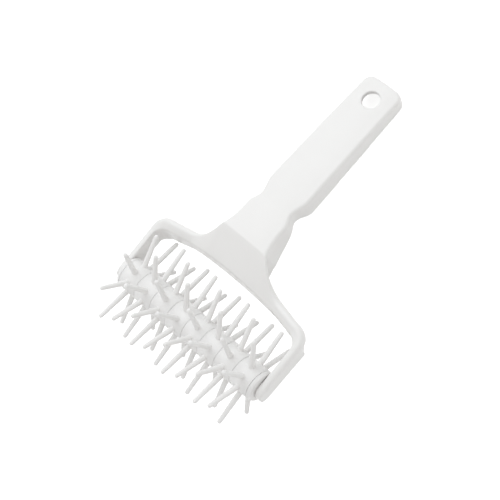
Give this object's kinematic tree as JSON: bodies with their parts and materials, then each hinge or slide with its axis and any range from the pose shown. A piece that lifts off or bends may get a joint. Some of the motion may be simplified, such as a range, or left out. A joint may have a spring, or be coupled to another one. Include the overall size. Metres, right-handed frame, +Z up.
{
  "type": "dough docker",
  "caption": "Dough docker: a free-running roller of staggered spiked rings held between the arms of a hollow moulded handle with a hanging hole.",
  "frame": {"origin": "middle of the footprint on the table, under the tool as it lies on its lowest spikes and on the tail of its handle", "axes": "+X along the roller towards the right arm, +Y from the roller towards the tail of the handle, +Z up from the table"},
  "size_m": [0.1226, 0.2046, 0.063],
  "materials": {
    "handle_plastic": "white moulded plastic with a soft satin shine",
    "ring_plastic": "white moulded plastic, slightly duller than the handle",
    "core_plastic": "off-white matt plastic, hidden inside the rings"
  },
  "bodies": {
    "yoke": {"yoke_handle": "handle_plastic"},
    "roller": {"roller_core": "core_plastic", "spike_ring_1": "ring_plastic", "spike_ring_2": "ring_plastic", "spike_ring_3": "ring_plastic", "spike_ring_4": "ring_plastic", "spike_ring_5": "ring_plastic", "spike_ring_6": "ring_plastic", "spike_ring_7": "ring_plastic", "spike_ring_8": "ring_plastic", "end_cap_right": "ring_plastic", "end_cap_left": "ring_plastic"}
  },
  "joints": [
    {"name": "roller_spin", "type": "hinge", "parent": "yoke", "child": "roller", "pos_m": [0, -0.07079, 0.0315], "axis": [1, 0, 0], "continuous": true}
  ]
}
